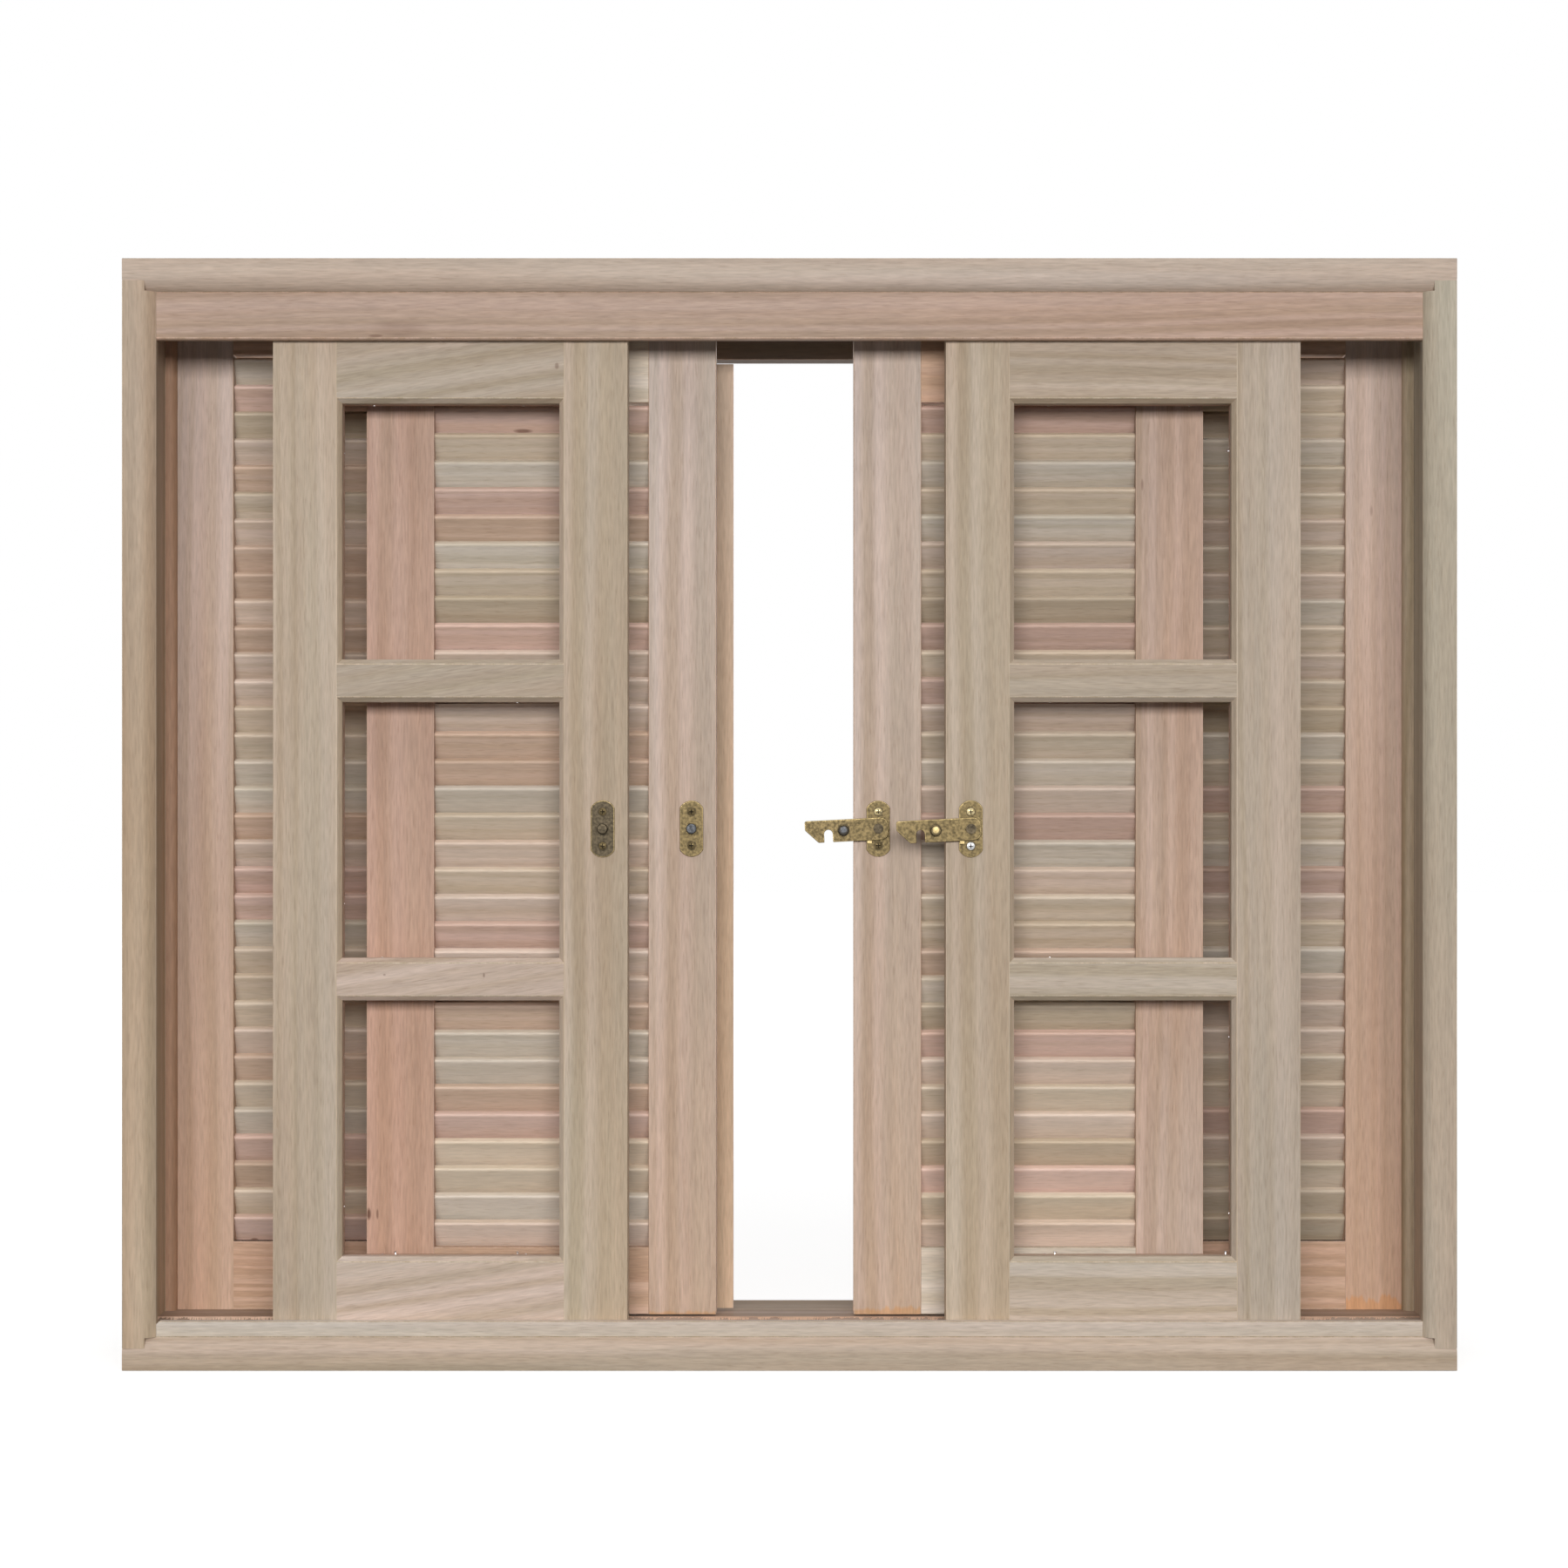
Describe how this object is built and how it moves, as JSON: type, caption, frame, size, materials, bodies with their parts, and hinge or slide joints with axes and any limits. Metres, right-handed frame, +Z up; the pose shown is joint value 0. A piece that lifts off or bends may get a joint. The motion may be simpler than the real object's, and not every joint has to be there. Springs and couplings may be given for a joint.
{
  "type": "sliding louvred window",
  "caption": "Wooden window with its frame: fixed louvred panels at the sides, sliding louvred shutters and sliding open-light sashes hung on wheels, with hook latches.",
  "frame": {"origin": "middle of the sill's underside, in the middle of the frame's depth", "axes": "+X to the right along the window, +Y from the room to the outside, +Z up"},
  "size_m": [1.2, 0.14, 1],
  "materials": {
    "wood_straw": "planed, unfinished",
    "wood_pink": "planed, unfinished",
    "wood_rose": "planed, unfinished",
    "wood_tan": "planed, unfinished",
    "wood_grey": "planed, unfinished",
    "track_aluminium": "mill finish",
    "zinc_steel": "zinc plated",
    "nylon": "moulded",
    "bronze": "dark bronze, worn",
    "antique_brass": "mottled antique brass"
  },
  "bodies": {
    "frame": {"head": "wood_pink", "sill": "wood_straw", "left_jamb": "wood_straw", "right_jamb": "wood_straw", "valance": "wood_rose", "rear_fascia": "wood_tan", "front_bead": "wood_straw", "track_board": "wood_rose", "stop_beads": "wood_tan", "sash_track": "track_aluminium", "shutter_track": "track_aluminium", "sash_guides": "nylon", "shutter_guides": "nylon", "left_fixed_stiles": "wood_pink", "left_fixed_rails": "wood_tan", "left_fixed_slats": "wood_grey", "right_fixed_stiles": "wood_rose", "right_fixed_rails": "wood_rose", "right_fixed_slats": "wood_grey"},
    "left_shutter": {"left_shutter_outer_stile": "wood_pink", "left_shutter_meeting_stile": "wood_rose", "left_shutter_top_rail": "wood_tan", "left_shutter_bottom_rail": "wood_pink", "left_shutter_slats": "wood_grey", "left_shutter_astragal": "wood_tan", "left_shutter_hangers": "zinc_steel", "left_shutter_keeper": "antique_brass", "left_shutter_screws": "zinc_steel"},
    "left_sash": {"left_sash_outer_stile": "wood_straw", "left_sash_meeting_stile": "wood_straw", "left_sash_rails": "wood_pink", "left_sash_glazing_beads": "wood_rose", "left_sash_hangers": "zinc_steel", "left_sash_keeper": "bronze", "left_sash_screws": "zinc_steel"},
    "right_shutter": {"right_shutter_outer_stile": "wood_pink", "right_shutter_meeting_stile": "wood_pink", "right_shutter_top_rail": "wood_rose", "right_shutter_bottom_rail": "wood_rose", "right_shutter_slats": "wood_grey", "right_shutter_hangers": "zinc_steel", "right_shutter_hook_plate": "antique_brass", "right_shutter_screws": "zinc_steel"},
    "right_sash": {"right_sash_outer_stile": "wood_straw", "right_sash_meeting_stile": "wood_tan", "right_sash_rails": "wood_straw", "right_sash_glazing_beads": "wood_rose", "right_sash_hangers": "zinc_steel", "right_sash_hook_plate": "bronze", "right_sash_screws": "zinc_steel"},
    "left_sash_inner_wheel": {"left_sash_inner_wheel": "nylon"},
    "left_sash_outer_wheel": {"left_sash_outer_wheel": "nylon"},
    "right_sash_inner_wheel": {"right_sash_inner_wheel": "nylon"},
    "right_sash_outer_wheel": {"right_sash_outer_wheel": "nylon"},
    "left_shutter_inner_wheel": {"left_shutter_inner_wheel": "nylon"},
    "left_shutter_outer_wheel": {"left_shutter_outer_wheel": "nylon"},
    "right_shutter_inner_wheel": {"right_shutter_inner_wheel": "nylon"},
    "right_shutter_outer_wheel": {"right_shutter_outer_wheel": "nylon"},
    "right_sash_hook": {"right_sash_hook": "bronze"},
    "right_shutter_hook": {"right_shutter_hook": "bronze"}
  },
  "joints": [
    {"name": "left_sash_slide", "type": "slide", "parent": "frame", "child": "left_sash", "axis": [1, 0, 0], "range_m": [-0.1115, 0.146]},
    {"name": "right_sash_slide", "type": "slide", "parent": "frame", "child": "right_sash", "axis": [-1, 0, 0], "range_m": [-0.1165, 0.141]},
    {"name": "left_shutter_slide", "type": "slide", "parent": "frame", "child": "left_shutter", "axis": [1, 0, 0], "range_m": [-0.1905, 0.067]},
    {"name": "right_shutter_slide", "type": "slide", "parent": "frame", "child": "right_shutter", "axis": [-1, 0, 0], "range_m": [-0.199, 0.0585]},
    {"name": "left_sash_inner_wheel_spin", "type": "hinge", "parent": "left_sash", "child": "left_sash_inner_wheel", "pos_m": [-0.1775, -0.0405, 0.9684], "axis": [0, 1, 0], "continuous": true},
    {"name": "left_sash_outer_wheel_spin", "type": "hinge", "parent": "left_sash", "child": "left_sash_outer_wheel", "pos_m": [-0.4365, -0.0405, 0.9684], "axis": [0, 1, 0], "continuous": true},
    {"name": "right_sash_inner_wheel_spin", "type": "hinge", "parent": "right_sash", "child": "right_sash_inner_wheel", "pos_m": [0.1725, -0.0405, 0.9684], "axis": [0, 1, 0], "continuous": true},
    {"name": "right_sash_outer_wheel_spin", "type": "hinge", "parent": "right_sash", "child": "right_sash_outer_wheel", "pos_m": [0.4315, -0.0405, 0.9684], "axis": [0, 1, 0], "continuous": true},
    {"name": "left_shutter_inner_wheel_spin", "type": "hinge", "parent": "left_shutter", "child": "left_shutter_inner_wheel", "pos_m": [-0.0985, -0.0025, 0.9684], "axis": [0, 1, 0], "continuous": true},
    {"name": "left_shutter_outer_wheel_spin", "type": "hinge", "parent": "left_shutter", "child": "left_shutter_outer_wheel", "pos_m": [-0.3575, -0.0025, 0.9684], "axis": [0, 1, 0], "continuous": true},
    {"name": "right_shutter_inner_wheel_spin", "type": "hinge", "parent": "right_shutter", "child": "right_shutter_inner_wheel", "pos_m": [0.09, -0.0025, 0.9684], "axis": [0, 1, 0], "continuous": true},
    {"name": "right_shutter_outer_wheel_spin", "type": "hinge", "parent": "right_shutter", "child": "right_shutter_outer_wheel", "pos_m": [0.349, -0.0025, 0.9684], "axis": [0, 1, 0], "continuous": true},
    {"name": "right_sash_hook_turn", "type": "hinge", "parent": "right_sash", "child": "right_sash_hook", "pos_m": [0.164, -0.053, 0.487], "axis": [0, 1, 0], "range_deg": [0, 75]},
    {"name": "right_shutter_hook_turn", "type": "hinge", "parent": "right_shutter", "child": "right_shutter_hook", "pos_m": [0.0815, -0.015, 0.487], "axis": [0, 1, 0], "range_deg": [0, 75]}
  ],
  "couplings": [
    {"joint": "left_sash_inner_wheel_spin", "follows": "left_sash_slide", "rad_per_m": 153.85},
    {"joint": "left_sash_outer_wheel_spin", "follows": "left_sash_slide", "rad_per_m": 153.85},
    {"joint": "right_sash_inner_wheel_spin", "follows": "right_sash_slide", "rad_per_m": -153.85},
    {"joint": "right_sash_outer_wheel_spin", "follows": "right_sash_slide", "rad_per_m": -153.85},
    {"joint": "left_shutter_inner_wheel_spin", "follows": "left_shutter_slide", "rad_per_m": 153.85},
    {"joint": "left_shutter_outer_wheel_spin", "follows": "left_shutter_slide", "rad_per_m": 153.85},
    {"joint": "right_shutter_inner_wheel_spin", "follows": "right_shutter_slide", "rad_per_m": -153.85},
    {"joint": "right_shutter_outer_wheel_spin", "follows": "right_shutter_slide", "rad_per_m": -153.85}
  ]
}
